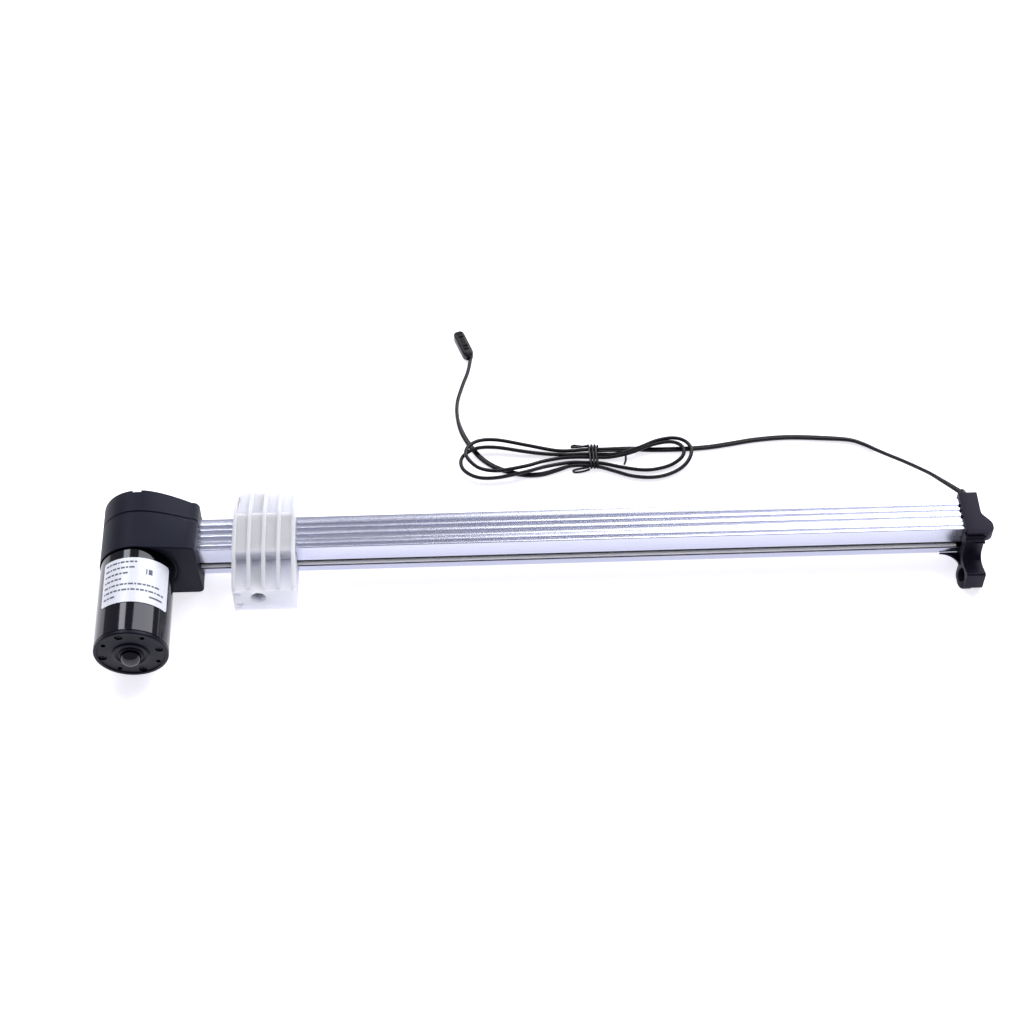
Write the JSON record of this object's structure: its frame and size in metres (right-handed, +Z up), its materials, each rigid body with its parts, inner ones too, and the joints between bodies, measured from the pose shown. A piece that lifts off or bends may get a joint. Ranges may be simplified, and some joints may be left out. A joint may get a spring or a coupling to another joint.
{
  "type": "linear actuator",
  "caption": "Rail-type linear actuator for reclining furniture: gear motor, extruded rail, screw-driven white slider, end bracket and a coiled two-core lead with a plug.",
  "frame": {"origin": "the middle of the bounding box without the free lead, on the plane that the housing, slider and end bracket stand on", "axes": "+X along the rail, from the gear housing to the end bracket; +Y away from the side that the motor points to; +Z up, with the label towards the top"},
  "size_m": [0.463, 0.2316, 0.0403],
  "materials": {
    "housing_plastic": "matte, fine moulded grain",
    "bracket_plastic": "satin moulded",
    "motor_enamel": "glossy black enamel",
    "end_plate_black": "satin black",
    "rail_aluminium": "anodised extrusion, satin",
    "white_nylon": "satin moulded",
    "label_film": "satin film",
    "bright_steel": "bright turned",
    "dark_steel": "blackened",
    "sintered_bronze": "oiled sintered",
    "copper": "enamelled wire",
    "carbon": "pressed carbon",
    "ferrite": "sintered ferrite",
    "drive_acetal": "moulded",
    "board_green": "board laminate",
    "cable_pvc": "soft vinyl, satin",
    "brass": "bright"
  },
  "bodies": {
    "frame_body": {"bearing_ball_cage": "brass", "bearing_outer_ring": "bright_steel", "brush_plate": "board_green", "cord_hank": "cable_pvc", "cord_lead": "cable_pvc", "cord_tail": "cable_pvc", "end_bell_dome": "motor_enamel", "end_bell_screw_1": "dark_steel", "end_bell_screw_2": "dark_steel", "end_bell_screw_3": "dark_steel", "end_bell_screw_4": "dark_steel", "end_bracket": "bracket_plastic", "gear_cover": "housing_plastic", "gear_housing": "housing_plastic", "housing_screw_1": "dark_steel", "housing_screw_2": "dark_steel", "housing_screw_3": "dark_steel", "housing_screw_4": "dark_steel", "inner_lead": "cable_pvc", "lead_grommet": "cable_pvc", "leadscrew_end_bush": "sintered_bronze", "leadscrew_rear_bush": "sintered_bronze", "limit_switch_far": "housing_plastic", "limit_switch_near": "housing_plastic", "motor_brush_left": "carbon", "motor_brush_right": "carbon", "motor_can": "motor_enamel", "motor_end_bell": "end_plate_black", "motor_front_bush": "sintered_bronze", "motor_front_plate": "bright_steel", "motor_label": "label_film", "motor_magnet_lower": "ferrite", "motor_magnet_upper": "ferrite", "motor_mount_screw_1": "bright_steel", "motor_mount_screw_2": "bright_steel", "motor_rear_bush": "sintered_bronze", "plug_body": "cable_pvc", "plug_contact_left": "brass", "plug_contact_right": "brass", "rail": "rail_aluminium", "switch_strip": "board_green", "twist_tie": "cable_pvc"},
    "rotor": {"worm_shaft": "bright_steel", "armature_stack": "dark_steel", "armature_winding_rear": "copper", "armature_winding_front": "copper", "commutator": "copper"},
    "screw": {"leadscrew": "bright_steel", "worm_wheel": "drive_acetal", "wheel_lock_ring": "dark_steel", "bearing_inner_ring": "bright_steel"},
    "slider": {"slider_carriage": "white_nylon", "drive_nut": "drive_acetal", "switch_flag": "dark_steel", "trunnion_bush_near": "white_nylon", "trunnion_bush_far": "white_nylon"}
  },
  "joints": [
    {"name": "rotor_spin", "type": "hinge", "parent": "frame_body", "child": "rotor", "pos_m": [-0.2122, 0.0207, 0.0203], "axis": [0, 1, 0], "range_deg": [-402000, 13200]},
    {"name": "leadscrew_spin", "type": "hinge", "parent": "frame_body", "child": "screw", "pos_m": [-0.1815, 0.0207, 0.0105], "axis": [1, 0, 0], "range_deg": [-20101, 661]},
    {"name": "slider_slide", "type": "slide", "parent": "frame_body", "child": "slider", "axis": [1, 0, 0], "range_m": [-0.011, 0.335]}
  ],
  "couplings": [
    {"joint": "leadscrew_spin", "follows": "rotor_spin", "ratio": 0.05},
    {"joint": "slider_slide", "follows": "rotor_spin", "m_per_rad": -0.000047746}
  ]
}
